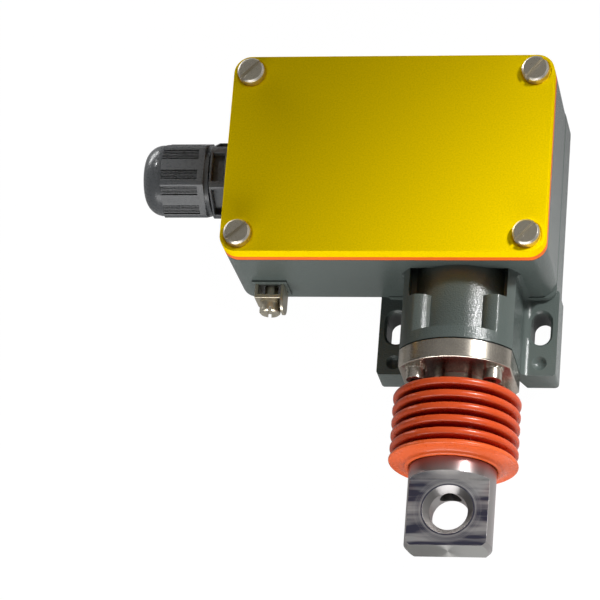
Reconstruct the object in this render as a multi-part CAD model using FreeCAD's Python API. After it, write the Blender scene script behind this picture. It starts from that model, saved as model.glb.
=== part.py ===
import FreeCAD, Part
import math
import os
from FreeCAD import Vector

# Rope pull switch. Millimetres, +Z is the cover's outward normal, z = 0 is the mounting face.
# The rope pulls the eye along -Y. The origin lies midway between the two mounting slots.

# Clearances, and how far a cutting or joined shape runs past the face that it meets
running_gap = 0.05
screw_gap = 0.1
rest_gap = 0.3
screw_end_gap = 1.0
run_past = 1.0

# How near an edge lies to the place where it is looked for
edge_search = 0.01

# Box of the casting
lid_width = 120.0
lid_depth = 79.0
lid_thickness = 5.2
lid_wall = 3.2
lid_edge_round = 0.3
gasket_thickness = 3.0
rim_height = 50.0
box_right = 33.0
box_front = 11.2
box_floor = 13.4
corner_radius = 6.5
wall = 3.5
draft_degrees = 0.8
floor_edge_round = 0.8

# Mounting pad and its ears
pad_thickness = 12.6
pad_half_width = 32.6
ear_half_width = 33.4
ear_front = -18.7
ear_back = 15.3
pad_back_inset = 1.6
pad_corner_radius = 4.0
ear_corner_radius = 1.5
slot_spacing = 54.0
slot_width = 7.3
slot_length = 12.7
slot_rim_chamfer = 0.9
dimple_spacing = 54.4
dimple_y = -13.9
dimple_diameter = 5.6
dimple_depth = 2.4
relief_half_width = 19.5
relief_foot_half_width = 21.6
relief_chamfer_height = 6.8
relief_back = -9.0
web_radius = 3.0
nose_root_radius = 3.0

# Round nose in front of the box
axis_z = 27.0
nose_front = -19.0
nose_radius = 24.0
nose_half_width = 20.7
nose_side_wall = 2.6
nose_ring_thickness = 4.4
nose_core_radius = 19.0
nose_bore_radius = 15.0
nose_pocket_floor = 37.0
nose_pocket_recess = 1.1
boss_radius = 6.3
boss_length = 14.6

# Cover screws, M6 slotted cheese head
cover_screw_inset = 6.8
cover_screw_radius = 3.0
cover_screw_head_radius = 5.0
cover_screw_head_height = 3.9
cover_screw_slot_width = 1.6
cover_screw_slot_depth = 1.9
cover_screw_slot_degrees = 42.0
cover_screw_grip = 14.0
cover_counterbore_depth = 0.8
cover_counterbore_gap = 0.8
post_radius = 6.2

# Bearing flange, its screws and washers, M4 socket head
flange_gasket_thickness = 0.5
flange_thickness = 7.1
flange_edge_chamfer = 0.4
flange_hub_length = 9.5
neck_radius = 9.0
neck_length = 17.3
flange_screw_x = 14.1
flange_screw_z = 12.1
flange_screw_radius = 2.0
flange_screw_head_radius = 3.5
flange_screw_head_height = 4.0
flange_screw_socket_width = 3.0
flange_screw_socket_depth = 2.0
flange_screw_head_round = 0.4
flange_screw_grip = 12.0
flange_washer_radius = 4.0
flange_washer_thickness = 0.9
flange_washer_teeth = 10
flange_washer_gap_share = 0.45

# Pull spindle, bush and seal
spindle_radius = 5.0
spindle_thread_radius = 4.0
spindle_eye_grip = 20.0
spindle_end_chamfer = 0.5
bush_wall = 2.0
bush_inset = 1.0
seal_length = 3.0

# Pull eye
eye_radius = 16.0
eye_end = -92.4
eye_flat_start = -67.2
eye_flat_thickness = 13.0
eye_center = -78.8
eye_bore_radius = 7.0
eye_bore_chamfer = 2.3
eye_seat_chamfer = 1.0
eye_end_chamfer = 1.4
eye_bead_groove_depth = 1.0

# Bellows
bellows_inset = 0.5
bellows_fold_depth = 4.0
bellows_wall = 0.9
bellows_crest_round = 1.55
bellows_pitch = 4.87
bellows_first_crest = -34.4
bellows_folds = 5
bellows_collar_length = 3.0
bellows_collar_wall = 1.8
bellows_lip_reach = 0.2
bellows_lip_y = -58.3
bellows_lip_end = -61.9
bellows_lip_thickness = 2.2

# Return spring, spring plate, cam and nut on the spindle
pull_travel = 8.0
spring_mean_radius = 10.0
spring_wire_radius = 1.1
spring_turns = 5
spring_plate_y = 13.0
spring_plate_thickness = 3.0
spring_plate_gap = 1.0
cam_ratio = 0.3
cam_plunger_radius = 6.0
cam_length = 52.0
cam_run_out = 2.5
cam_step_length = 1.0
lock_nut_width = 13.0
lock_nut_height = 6.5
spindle_end_overhang = 2.5

# Contact blocks and what they hold
block_pitch = 22.0
first_block_y = 33.0
block_width = 20.0
block_front = -15.0
block_length = 34.0
block_base = 19.1
block_height = 15.9
block_corner_radius = 1.0
chamber_front = -21.0
chamber_length = 14.0
chamber_half_width = 7.5
chamber_floor = 23.0
plunger_radius = 2.0
plunger_gap = 0.1
plunger_length = 31.0
plunger_spring_space = 6.5
bridge_y_half = 6.5
bridge_thickness = 0.8
bridge_height = 4.0
bridge_x = -26.0
contact_gap = 0.3
contact_thickness = 1.0
contact_width = 2.0
block_spring_radius = 1.4
block_spring_wire = 0.3
block_spring_turns = 6
terminal_screw_radius = 1.5
terminal_screw_head_radius = 2.6
terminal_screw_head_height = 1.8
terminal_screw_length = 4.0
terminal_slot_width = 0.8
terminal_slot_depth = 0.9
terminal_slot_degrees = 15.0
terminal_y = 6.9
terminal_tab_half = 2.4

# Contact carrier plate
carrier_thickness = 1.5
carrier_corner_radius = 2.0
carrier_margin = 1.0
carrier_boss_radius = 4.0
carrier_screw_radius = 1.5
carrier_screw_head_radius = 2.75
carrier_screw_head_height = 2.0
carrier_screw_grip = 3.0

# Cable gland, M20
gland_y = 51.3
gland_z = 32.0
gland_seat_proud = 0.4
gland_seat_radius = 14.5
gland_thread_radius = 10.0
gland_washer_thickness = 1.5
gland_washer_radius = 13.0
gland_hex_width = 27.0
gland_hex_length = 7.1
gland_hex_degrees = 1.0
gland_corner_cut = 0.5
gland_pocket_depth = 3.0
gland_pocket_front = 0.9
gland_pocket_back = 1.6
gland_pocket_side = 2.1
gland_neck_radius = 9.5
gland_thread_length = 12.0
gland_bore_radius = 6.6
gland_nut_width = 27.0
gland_nut_degrees = -3.0
gland_nut_start = 0.6
gland_nut_length = 25.6
gland_nut_collar_length = 1.6
gland_nut_dome_length = 7.7
gland_nut_dome_radius = 13.2
gland_nut_hole_radius = 7.5
gland_nut_rim = 1.0
gland_nut_wall = 3.0
gland_window_width = 3.8
gland_window_offset = 4.2
gland_window_depth = 0.6
gland_window_end = 2.4
gland_rib_count = 5
gland_rib_width = 0.32
gland_rib_drop = 0.15
gland_seal_length = 14.0
cable_radius = 5.0

# Outer earth terminal, M5
earth_x = -73.0
earth_z = 24.0
earth_pad_size = 13.0
earth_pad_proud = 0.5
earth_clamp_width = 10.9
earth_clamp_height = 9.4
earth_clamp_plate = 1.6
earth_clamp_leg = 1.2
earth_clamp_depth = 3.9
earth_clamp_lip = 4.4
earth_washer_thickness = 1.2
earth_washer_radius = 3.95
earth_washer_split = 0.8
earth_washer_split_degrees = 60.0
earth_screw_radius = 2.5
earth_screw_head_radius = 3.95
earth_screw_head_height = 3.5
earth_slot_width = 1.2
earth_slot_depth = 1.6
earth_slot_degrees = 80.0
earth_screw_grip = 7.1
earth_boss_radius = 6.0
earth_boss_length = 5.0

# Inner earth terminal, M5
inner_earth_x = -68.0
inner_earth_y = 27.0
inner_earth_boss_radius = 6.0
inner_earth_boss_height = 4.0
inner_earth_clamp_size = 10.0
inner_earth_clamp_thickness = 1.6
inner_earth_screw_grip = 5.5
inner_earth_slot_degrees = 20.0

# Shares of the radius used for every slotted screw
screw_head_chamfer_share = 0.14
screw_tip_chamfer_share = 0.25

# Places that follow from the sizes above
box_left = box_right - lid_width
box_back = box_front + lid_depth
lid_bottom = rim_height + gasket_thickness
lid_top = lid_bottom + lid_thickness
box_center_x = (box_left + box_right) / 2
cavity_floor = box_floor + wall
nose_ring_back = nose_front + nose_ring_thickness
nose_side_top = axis_z + math.sqrt(nose_radius ** 2 - nose_half_width ** 2)
flange_back = nose_front - flange_gasket_thickness
flange_front = flange_back - flange_thickness
flange_hub_end = flange_back + flange_hub_length
neck_end = flange_front - neck_length
eye_top = neck_end - rest_gap
cam_start = spring_plate_y + spring_plate_thickness
cam_end = cam_start + cam_length
bellows_radius = nose_radius - bellows_inset
bellows_valley_radius = bellows_radius - bellows_fold_depth
bellows_lip_radius = bellows_radius + bellows_lip_reach
block_rows = [first_block_y, first_block_y + block_pitch]
block_back = block_front - block_length
block_top = block_base + block_height
gland_seat_x = box_left - gland_seat_proud
gland_hex_start = gland_seat_x - gland_washer_thickness
gland_hex_end = gland_hex_start - gland_hex_length
gland_nut_back = gland_hex_end - gland_nut_start
gland_nut_end = gland_nut_back - gland_nut_length
gland_neck_end = gland_nut_end + gland_nut_wall + rest_gap
cover_screw_places = [
    (x, y)
    for x in (box_left + cover_screw_inset, box_right - cover_screw_inset)
    for y in (box_front + cover_screw_inset, box_back - cover_screw_inset)
]
flange_screw_places = [
    (side * flange_screw_x, axis_z + level * flange_screw_z)
    for side in (-1, 1)
    for level in (-1, 1)
]


def draft_shift(height):
    """How far a drafted wall has moved inward at this height below the rim."""
    return (rim_height - height) * math.tan(math.radians(draft_degrees))


def rounded_outline(left, right, front, back, radius, z):
    """Closed wire of a rectangle with rounded corners in a level plane."""
    corners = [(right, front, -90), (right, back, 0), (left, back, 90), (left, front, 180)]
    inner_x = {right: right - radius, left: left + radius}
    inner_y = {front: front + radius, back: back - radius}
    edges = []
    last = None
    first = None
    for x, y, start in corners:
        center = Vector(inner_x[x], inner_y[y], z)
        points = []
        for turn in (0, 45, 90):
            angle = math.radians(start + turn)
            points.append(center + Vector(math.cos(angle), math.sin(angle), 0) * radius)
        if last is not None:
            edges.append(Part.makeLine(last, points[0]))
        else:
            first = points[0]
        edges.append(Part.Arc(*points).toShape())
        last = points[2]
    edges.append(Part.makeLine(last, first))
    return Part.Wire(edges)


def rounded_block(left, right, front, back, bottom, top, radius):
    """Upright block with rounded vertical edges."""
    face = Part.Face(rounded_outline(left, right, front, back, radius, bottom))
    return face.extrude(Vector(0, 0, top - bottom))


def box_between(low, high):
    """Plain box from its low corner to its high corner."""
    size = Vector(*high) - Vector(*low)
    return Part.makeBox(size.x, size.y, size.z, Vector(*low))


def rod_along_y(radius, start, end, x=0.0, z=axis_z):
    """Cylinder along Y between two places."""
    low = min(start, end)
    return Part.makeCylinder(radius, abs(end - start), Vector(x, low, z), Vector(0, 1, 0))


def rod_along_x(radius, start, end, y, z):
    """Cylinder along X between two places."""
    low = min(start, end)
    return Part.makeCylinder(radius, abs(end - start), Vector(low, y, z), Vector(1, 0, 0))


def rod_along_z(radius, start, end, x, y):
    """Upright cylinder between two heights."""
    return Part.makeCylinder(radius, end - start, Vector(x, y, start))


def prism(points, direction):
    """Solid swept from a closed polygon along a direction."""
    wire = Part.makePolygon([Vector(*p) for p in points + points[:1]])
    return Part.Face(wire).extrude(Vector(*direction))


def turned_about_axis(outline):
    """Solid turned about the pull axis from (y, radius) points."""
    points = [Vector(0, y, axis_z + radius) for y, radius in outline]
    face = Part.Face(Part.makePolygon(points + points[:1]))
    return face.revolve(Vector(0, 0, axis_z), Vector(0, 1, 0), 360)


def hexagon_along(width, start, end, origin, axis, turn=0.0):
    """Hexagonal prism of a width across flats along X or Y."""
    corner = width / math.sqrt(3)
    points = []
    for index in range(6):
        angle = math.radians(60 * index + turn)
        u = corner * math.cos(angle)
        v = corner * math.sin(angle)
        if axis == "x":
            points.append((start, origin[0] + u, origin[1] + v))
        else:
            points.append((origin[0] + u, start, origin[1] + v))
    length = end - start
    return prism(points, (length, 0, 0) if axis == "x" else (0, length, 0))


def fused(shapes):
    """One solid from overlapping shapes."""
    return shapes[0].multiFuse(shapes[1:]).removeSplitter()


def slot_outline(x, z, widening):
    """Outline of a slotted hole that runs along Y, centred on y = 0."""
    half = slot_length / 2 + widening
    radius = slot_width / 2 + widening
    return rounded_outline(x - radius, x + radius, -half, half, radius - 0.001, z)


def slot_opening(x):
    """Slotted mounting hole with a chamfered rim on the ear's top."""
    shaft = Part.Face(slot_outline(x, -run_past, 0)).extrude(
        Vector(0, 0, pad_thickness + 2 * run_past))
    rim = Part.makeLoft([
        slot_outline(x, pad_thickness - slot_rim_chamfer, 0),
        slot_outline(x, pad_thickness + run_past, slot_rim_chamfer + run_past)], True, True)
    return shaft.fuse(rim)


def drafted_box():
    """Outside of the box, narrower at its floor than at its rim."""
    shift = draft_shift(box_floor)
    low = rounded_outline(
        box_left + shift, box_right - shift, box_front + shift, box_back - shift,
        corner_radius - shift, box_floor)
    high = rounded_outline(box_left, box_right, box_front, box_back, corner_radius, rim_height)
    body = Part.makeLoft([low, high], True, True)
    floor_edges = [e for e in body.Edges if abs(e.BoundBox.ZMax - box_floor) < edge_search]
    return body.makeFillet(floor_edge_round, floor_edges)


def mounting_pad():
    """Pad under the right part of the box, with the two ears beside the nose."""
    pad = rounded_block(
        -pad_half_width, pad_half_width, box_front, box_back - pad_back_inset,
        0, box_floor + wall / 2, pad_corner_radius)
    ears = rounded_block(
        -ear_half_width, ear_half_width, ear_front, ear_back, 0, pad_thickness, ear_corner_radius)
    return pad, ears


def pad_relief():
    """Arch under the nose, with a chamfered foot on each side."""
    foot = relief_foot_half_width
    top = relief_half_width
    arch_height = axis_z - nose_radius + relief_chamfer_height
    outline = [
        (-foot, ear_front - run_past, -1), (-foot, ear_front - run_past, 0),
        (-top, ear_front - run_past, relief_chamfer_height), (-top, ear_front - run_past, arch_height),
        (top, ear_front - run_past, arch_height), (top, ear_front - run_past, relief_chamfer_height),
        (foot, ear_front - run_past, 0), (foot, ear_front - run_past, -1),
    ]
    return prism(outline, (0, relief_back - ear_front + run_past, 0))


def nose_outside(front, back):
    """Round nose of the nose radius, cut flat on both sides."""
    round_part = rod_along_y(nose_radius, front, back)
    sides = box_between(
        (-nose_half_width, front - run_past, axis_z - nose_radius - run_past),
        (nose_half_width, back + run_past, axis_z + nose_radius + run_past))
    return round_part.common(sides)


def nose_block():
    """Outside of the nose down to the pad, from its front face into the box wall."""
    lower = box_between(
        (-nose_half_width, ear_front, pad_thickness / 2),
        (nose_half_width, box_front + wall / 2, axis_z))
    rim_space = box_between(
        (-nose_radius, box_front, rim_height),
        (nose_radius, box_front + wall, max(rim_height, axis_z + nose_radius) + wall))
    return [nose_outside(nose_front, box_front + wall / 2).cut(rim_space), lower]


def nose_pockets():
    """Hollow above and beside the core, between the end ring, the bosses and the box wall."""
    inside = nose_half_width - nose_side_wall
    lip = axis_z + math.sqrt(nose_radius ** 2 - inside ** 2)
    recess_back = box_front + nose_pocket_recess
    top = max(axis_z + nose_radius, rim_height) + run_past
    space = prism(
        [(-inside, nose_ring_back, nose_pocket_floor), (-inside, nose_ring_back, top),
         (-inside, box_front, top), (-inside, box_front, rim_height),
         (-inside, box_front + draft_shift(nose_pocket_floor), nose_pocket_floor)],
        (2 * inside, 0, 0))
    space = space.fuse(box_between(
        (-inside, box_front - run_past, nose_pocket_floor), (inside, recess_back, lip)))
    kept = [rod_along_y(nose_core_radius, nose_ring_back - run_past, recess_back + run_past)]
    for x, z in flange_screw_places:
        kept.append(rod_along_y(
            boss_radius, nose_ring_back - run_past, nose_ring_back + boss_length, x, z))
    for shape in kept:
        space = space.cut(shape)
    return space


def cove_along_y(side, radius, start, end):
    """Concave web between a nose side and the pad's top."""
    x = side * nose_half_width
    inner = x - side * nose_side_wall / 2
    foot = x + side * radius
    center = Vector(foot, start, pad_thickness + radius)
    middle = center + Vector(-side, 0, -1).normalize() * radius
    arc = Part.Arc(Vector(x, start, center.z), middle, Vector(foot, start, pad_thickness)).toShape()
    below = pad_thickness - run_past
    corners = [
        Vector(foot, start, pad_thickness), Vector(foot, start, below),
        Vector(inner, start, below), Vector(inner, start, center.z), Vector(x, start, center.z),
    ]
    lines = [Part.makeLine(a, b) for a, b in zip(corners, corners[1:])]
    return Part.Face(Part.Wire([arc] + lines)).extrude(Vector(0, end - start, 0))


def cove_upright(side, radius, bottom):
    """Concave web between a nose side and the box's front wall, its top in line with the nose."""
    x = side * nose_half_width
    inner = x - side * nose_side_wall / 2
    far = x + side * radius
    wall_y = box_front + draft_shift(bottom)
    center = Vector(far, wall_y - radius, bottom)
    middle = center + Vector(-side, 1, 0).normalize() * radius
    arc = Part.Arc(Vector(x, center.y, bottom), middle, Vector(far, wall_y, bottom)).toShape()
    inside = wall_y + wall / 2
    corners = [
        Vector(far, wall_y, bottom), Vector(far, inside, bottom),
        Vector(inner, inside, bottom), Vector(inner, center.y, bottom), Vector(x, center.y, bottom),
    ]
    lines = [Part.makeLine(a, b) for a, b in zip(corners, corners[1:])]
    web = Part.Face(Part.Wire([arc] + lines)).extrude(Vector(0, 0, nose_side_top - bottom))
    slope = nose_half_width / (nose_side_top - axis_z)
    reach = radius + run_past
    shoulder = prism(
        [(x, center.y - run_past, nose_side_top),
         (x + side * reach, center.y - run_past, nose_side_top - slope * reach),
         (x + side * reach, center.y - run_past, nose_side_top + run_past),
         (x, center.y - run_past, nose_side_top + run_past)],
        (0, inside - center.y + 2 * run_past, 0))
    return web.cut(shoulder)


def box_cavity():
    """Space inside the box, deeper over the pad, without the posts and bosses that stand in it."""
    shift = draft_shift(cavity_floor)
    inner_radius = corner_radius - wall
    low = rounded_outline(
        box_left + wall + shift, box_right - wall - shift,
        box_front + wall + shift, box_back - wall - shift, inner_radius, cavity_floor)
    high = rounded_outline(
        box_left + wall, box_right - wall, box_front + wall, box_back - wall,
        inner_radius, rim_height)
    upper = Part.makeLoft([low, high], True, True)
    lower = rounded_block(
        wall - pad_half_width, pad_half_width - wall, box_front + wall + shift,
        box_back - pad_back_inset - wall, wall, cavity_floor + run_past, pad_corner_radius)
    cavity = upper.fuse(lower)
    for x, y in cover_screw_places:
        cavity = cavity.cut(rod_along_z(post_radius, 0, rim_height, x, y))
    for x, y in carrier_screw_places():
        cavity = cavity.cut(
            rod_along_z(carrier_boss_radius, 0, block_base - carrier_thickness, x, y))
    cavity = cavity.cut(rod_along_z(
        inner_earth_boss_radius, cavity_floor, cavity_floor + inner_earth_boss_height,
        inner_earth_x, inner_earth_y))
    inner_front = box_front + wall
    cavity = cavity.cut(rod_along_y(
        earth_boss_radius, inner_front - run_past, inner_front + earth_boss_length, earth_x, earth_z))
    inner_left = box_left + wall
    cavity = cavity.cut(rod_along_x(
        gland_seat_radius, inner_left - run_past, inner_left + gland_thread_length / 2, gland_y, gland_z))
    return cavity


def carrier_screw_places():
    """Four places on the carrier plate, beside the blocks."""
    near = block_front - block_length / 4
    far = block_back - carrier_screw_head_radius - carrier_margin
    middle = sum(block_rows) / len(block_rows)
    outer = block_pitch / 2 + block_width / 2 + carrier_screw_head_radius + carrier_margin
    return [(near, middle - outer), (near, middle + outer), (far, block_rows[0]), (far, block_rows[1])]


def housing():
    """The whole casting, with its bores and threaded holes."""
    pad, ears = mounting_pad()
    solids = [drafted_box(), pad, ears] + nose_block()
    for side in (-1, 1):
        solids.append(cove_along_y(side, web_radius, ear_front, box_front + wall / 2))
        solids.append(cove_upright(side, nose_root_radius, pad_thickness - run_past))
    solids.append(rod_along_x(gland_seat_radius, gland_seat_x, box_left + wall, gland_y, gland_z))
    half_pad = earth_pad_size / 2
    solids.append(box_between(
        (earth_x - half_pad, box_front - earth_pad_proud, earth_z - half_pad),
        (earth_x + half_pad, box_front + wall / 2, earth_z + half_pad)))
    casting = fused(solids)
    cuts = [box_cavity(), nose_pockets(), pad_relief()]
    cuts.append(rod_along_y(nose_bore_radius, nose_front - run_past, box_front + 2 * wall))
    for x in (-slot_spacing / 2, slot_spacing / 2):
        cuts.append(slot_opening(x))
    for x in (-dimple_spacing / 2, dimple_spacing / 2):
        cuts.append(Part.makeCone(
            0, dimple_diameter / 2, dimple_depth, Vector(x, dimple_y, pad_thickness - dimple_depth)))
    for x, y in cover_screw_places:
        cuts.append(rod_along_z(
            cover_screw_radius + screw_gap,
            rim_height - cover_screw_grip - 2 * screw_end_gap,
            rim_height + run_past, x, y))
    for x, z in flange_screw_places:
        cuts.append(rod_along_y(
            flange_screw_radius + screw_gap, nose_front - run_past,
            nose_front + flange_screw_grip + screw_end_gap, x, z))
    for x, y in carrier_screw_places():
        cuts.append(rod_along_z(
            carrier_screw_radius + screw_gap, block_base - carrier_thickness - carrier_screw_grip,
            block_base, x, y))
    cuts.append(rod_along_x(
        gland_thread_radius + screw_gap, gland_seat_x - run_past,
        box_left + wall + gland_thread_length, gland_y, gland_z))
    cuts.append(rod_along_y(
        earth_screw_radius + screw_gap, box_front - earth_pad_proud - run_past,
        box_front + wall + earth_boss_length - screw_end_gap, earth_x, earth_z))
    cuts.append(rod_along_z(
        earth_screw_radius + screw_gap, cavity_floor + inner_earth_boss_height - inner_earth_screw_grip,
        cavity_floor + inner_earth_boss_height + run_past, inner_earth_x, inner_earth_y))
    return casting.cut(Part.makeCompound(cuts)).removeSplitter()


def cover():
    """Lid plate with counterbored screw holes and a hollow underside."""
    plate = rounded_block(
        box_left, box_right, box_front, box_back, lid_bottom, lid_top, corner_radius)
    top_edges = [e for e in plate.Edges if e.BoundBox.ZMin > lid_top - edge_search]
    plate = plate.makeFillet(lid_edge_round, top_edges)
    margin = wall + post_radius / 2
    hollow = rounded_block(
        box_left + margin, box_right - margin, box_front + margin, box_back - margin,
        lid_bottom - run_past, lid_top - lid_wall, corner_radius)
    rib_half = lid_wall / 4
    for offset in (-lid_width / 6, lid_width / 6):
        hollow = hollow.cut(box_between(
            (box_center_x + offset - rib_half, box_front, lid_bottom - run_past),
            (box_center_x + offset + rib_half, box_back, lid_top)))
    for x, y in cover_screw_places:
        hollow = hollow.cut(rod_along_z(post_radius, lid_bottom - run_past, lid_top, x, y))
    cuts = [hollow]
    for x, y in cover_screw_places:
        cuts.append(rod_along_z(
            cover_screw_radius + 3 * screw_gap, lid_bottom - run_past, lid_top + run_past, x, y))
        cuts.append(rod_along_z(
            cover_screw_head_radius + cover_counterbore_gap,
            lid_top - cover_counterbore_depth, lid_top + run_past, x, y))
    return plate.cut(Part.makeCompound(cuts))


def cover_gasket():
    """Flat silicone frame between rim and cover, widened round the screws."""
    outer = rounded_block(
        box_left, box_right, box_front, box_back, rim_height, lid_bottom, corner_radius)
    inner = rounded_block(
        box_left + wall, box_right - wall, box_front + wall, box_back - wall,
        rim_height - run_past, lid_bottom + run_past, corner_radius - wall)
    for x, y in cover_screw_places:
        inner = inner.cut(rod_along_z(post_radius, rim_height - run_past, lid_bottom + run_past, x, y))
    holes = [
        rod_along_z(
            cover_screw_radius + 2 * screw_gap, rim_height - run_past, lid_bottom + run_past, x, y)
        for x, y in cover_screw_places
    ]
    return outer.cut(Part.makeCompound([inner] + holes))


def cheese_head_screw(head_radius, head_height, radius, length, slot_width, slot_depth, turn):
    """Slotted screw, head up, its seat at the origin."""
    head = Part.makeCylinder(head_radius, head_height)
    rim = [e for e in head.Edges if e.BoundBox.ZMin > head_height - edge_search]
    head = head.makeChamfer(head_radius * screw_head_chamfer_share, rim)
    slot = Part.makeBox(
        3 * head_radius, slot_width, slot_depth + run_past,
        Vector(-1.5 * head_radius, -slot_width / 2, head_height - slot_depth))
    slot.rotate(Vector(0, 0, 0), Vector(0, 0, 1), turn)
    shank = Part.makeCylinder(radius, length, Vector(0, 0, -length))
    tip = [e for e in shank.Edges if e.BoundBox.ZMax < -length + edge_search]
    shank = shank.makeChamfer(radius * screw_tip_chamfer_share, tip)
    return head.fuse(shank).cut(slot).removeSplitter()


def cover_screws():
    """Four cover screws, each turned to nearly the same slot angle."""
    seat = lid_top - cover_counterbore_depth
    length = seat - rim_height + cover_screw_grip
    screws = []
    for index, (x, y) in enumerate(cover_screw_places):
        screw = cheese_head_screw(
            cover_screw_head_radius, cover_screw_head_height, cover_screw_radius, length,
            cover_screw_slot_width, cover_screw_slot_depth, cover_screw_slot_degrees + 3 * index)
        screw.translate(Vector(x, y, seat))
        screws.append(screw)
    return Part.makeCompound(screws)


def flange_outline_cut(radius, half_width, front, back):
    """Disc of the flange, cut flat on both sides."""
    sides = box_between(
        (-half_width, front - run_past, axis_z - radius - run_past),
        (half_width, back + run_past, axis_z + radius + run_past))
    return rod_along_y(radius, front, back).common(sides)


def flange_gasket():
    """Thin seal between nose and bearing flange."""
    inset = flange_gasket_thickness
    ring = flange_outline_cut(
        nose_radius - inset, nose_half_width - inset, flange_back, nose_front)
    cuts = [rod_along_y(nose_bore_radius, flange_back - run_past, nose_front + run_past)]
    for x, z in flange_screw_places:
        cuts.append(rod_along_y(
            flange_screw_radius + screw_gap, flange_back - run_past, nose_front + run_past, x, z))
    return ring.cut(Part.makeCompound(cuts))


def bearing_flange():
    """Steel flange with a hub in the nose bore and a neck for the bellows."""
    disc = flange_outline_cut(nose_radius, nose_half_width, flange_front, flange_back)
    front_edges = [e for e in disc.Edges if e.BoundBox.YMax < flange_front + edge_search]
    disc = disc.makeChamfer(flange_edge_chamfer, front_edges)
    hub = rod_along_y(nose_bore_radius - screw_gap, flange_back, flange_hub_end)
    neck = rod_along_y(neck_radius, neck_end, flange_front)
    collar_end = collar_start() - bellows_collar_length - bellows_wall
    groove = rod_along_y(neck_radius + run_past, collar_end, collar_start())
    groove = groove.cut(rod_along_y(neck_radius - bellows_wall / 2, neck_end, flange_front))
    bore = rod_along_y(
        spindle_radius + bush_wall, neck_end + bush_inset, flange_hub_end + run_past)
    through = rod_along_y(spindle_radius + screw_gap, neck_end - run_past, flange_hub_end + run_past)
    cuts = [groove, bore, through]
    for x, z in flange_screw_places:
        cuts.append(rod_along_y(
            flange_screw_radius + screw_gap, flange_front - run_past, flange_back + run_past, x, z))
    return fused([disc, hub, neck]).cut(Part.makeCompound(cuts)).removeSplitter()


def flange_screws():
    """Four socket-head screws that hold the flange to the nose."""
    seat = flange_front - flange_washer_thickness
    screws = []
    for x, z in flange_screw_places:
        head_end = seat - flange_screw_head_height
        head = rod_along_y(flange_screw_head_radius, head_end, seat, x, z)
        rim = [e for e in head.Edges if e.BoundBox.YMax < head_end + edge_search]
        head = head.makeFillet(flange_screw_head_round, rim)
        shank = rod_along_y(flange_screw_radius, seat, nose_front + flange_screw_grip, x, z)
        socket = hexagon_along(
            flange_screw_socket_width, head_end - run_past, head_end + flange_screw_socket_depth,
            (x, z), "y")
        screws.append(head.fuse(shank).cut(socket).removeSplitter())
    return Part.makeCompound(screws)


def toothed_washer(x, z):
    """Lock washer with teeth round its rim, seated on the flange."""
    ring = rod_along_y(
        flange_washer_radius, flange_front - flange_washer_thickness, flange_front, x, z)
    low = flange_front - flange_washer_thickness - run_past
    cuts = [rod_along_y(flange_screw_radius + screw_gap, low, flange_front + run_past, x, z)]
    tooth_pitch = 2 * math.pi * flange_washer_radius / flange_washer_teeth
    gap_radius = tooth_pitch * flange_washer_gap_share / 2
    for index in range(flange_washer_teeth):
        angle = 2 * math.pi * index / flange_washer_teeth
        cuts.append(rod_along_y(
            gap_radius, low, flange_front + run_past,
            x + flange_washer_radius * math.cos(angle), z + flange_washer_radius * math.sin(angle)))
    return ring.cut(Part.makeCompound(cuts))


def flange_lock_washers():
    """Four toothed washers under the flange screws."""
    return Part.makeCompound([toothed_washer(x, z) for x, z in flange_screw_places])


def guide_bush():
    """Plain bearing bush in the flange's neck and hub."""
    outline = [
        (neck_end + bush_inset, spindle_radius + running_gap),
        (neck_end + bush_inset, spindle_radius + bush_wall),
        (flange_hub_end - seal_length - bush_inset, spindle_radius + bush_wall),
        (flange_hub_end - seal_length - bush_inset, spindle_radius + running_gap),
    ]
    return turned_about_axis(outline)


def spindle_seal():
    """Rubber ring between bush and spring space."""
    start = flange_hub_end - seal_length - bush_inset
    outline = [
        (start, spindle_radius + running_gap), (start, spindle_radius + bush_wall),
        (start + seal_length, spindle_radius + bush_wall),
        (start + seal_length, spindle_radius + running_gap),
    ]
    return turned_about_axis(outline)


def collar_start():
    """Place of the bellows collar's flange-side end."""
    return bellows_first_crest + bellows_crest_round + bellows_collar_length


def fold_line(crest, valley, crest_round, valley_round, start_radius, end_radius):
    """Edges of the bellows wall in the plane x = 0, from the first crest to the lip."""
    edges = []
    point = Vector(0, bellows_first_crest + crest_round, axis_z + start_radius)
    for index in range(bellows_folds):
        crest_y = bellows_first_crest - index * bellows_pitch
        valley_y = crest_y - bellows_pitch / 2
        top = axis_z + crest - crest_round
        bottom = axis_z + valley + valley_round
        rise = Vector(0, crest_y + crest_round, top)
        edges.append(Part.makeLine(point, rise))
        fall = Vector(0, crest_y - crest_round, top)
        edges.append(Part.Arc(rise, Vector(0, crest_y, axis_z + crest), fall).toShape())
        foot = Vector(0, valley_y + valley_round, bottom)
        edges.append(Part.makeLine(fall, foot))
        point = Vector(0, valley_y - valley_round, bottom)
        edges.append(Part.Arc(foot, Vector(0, valley_y, axis_z + valley), point).toShape())
    edges.append(Part.makeLine(point, Vector(0, point.y, axis_z + end_radius)))
    return edges


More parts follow.
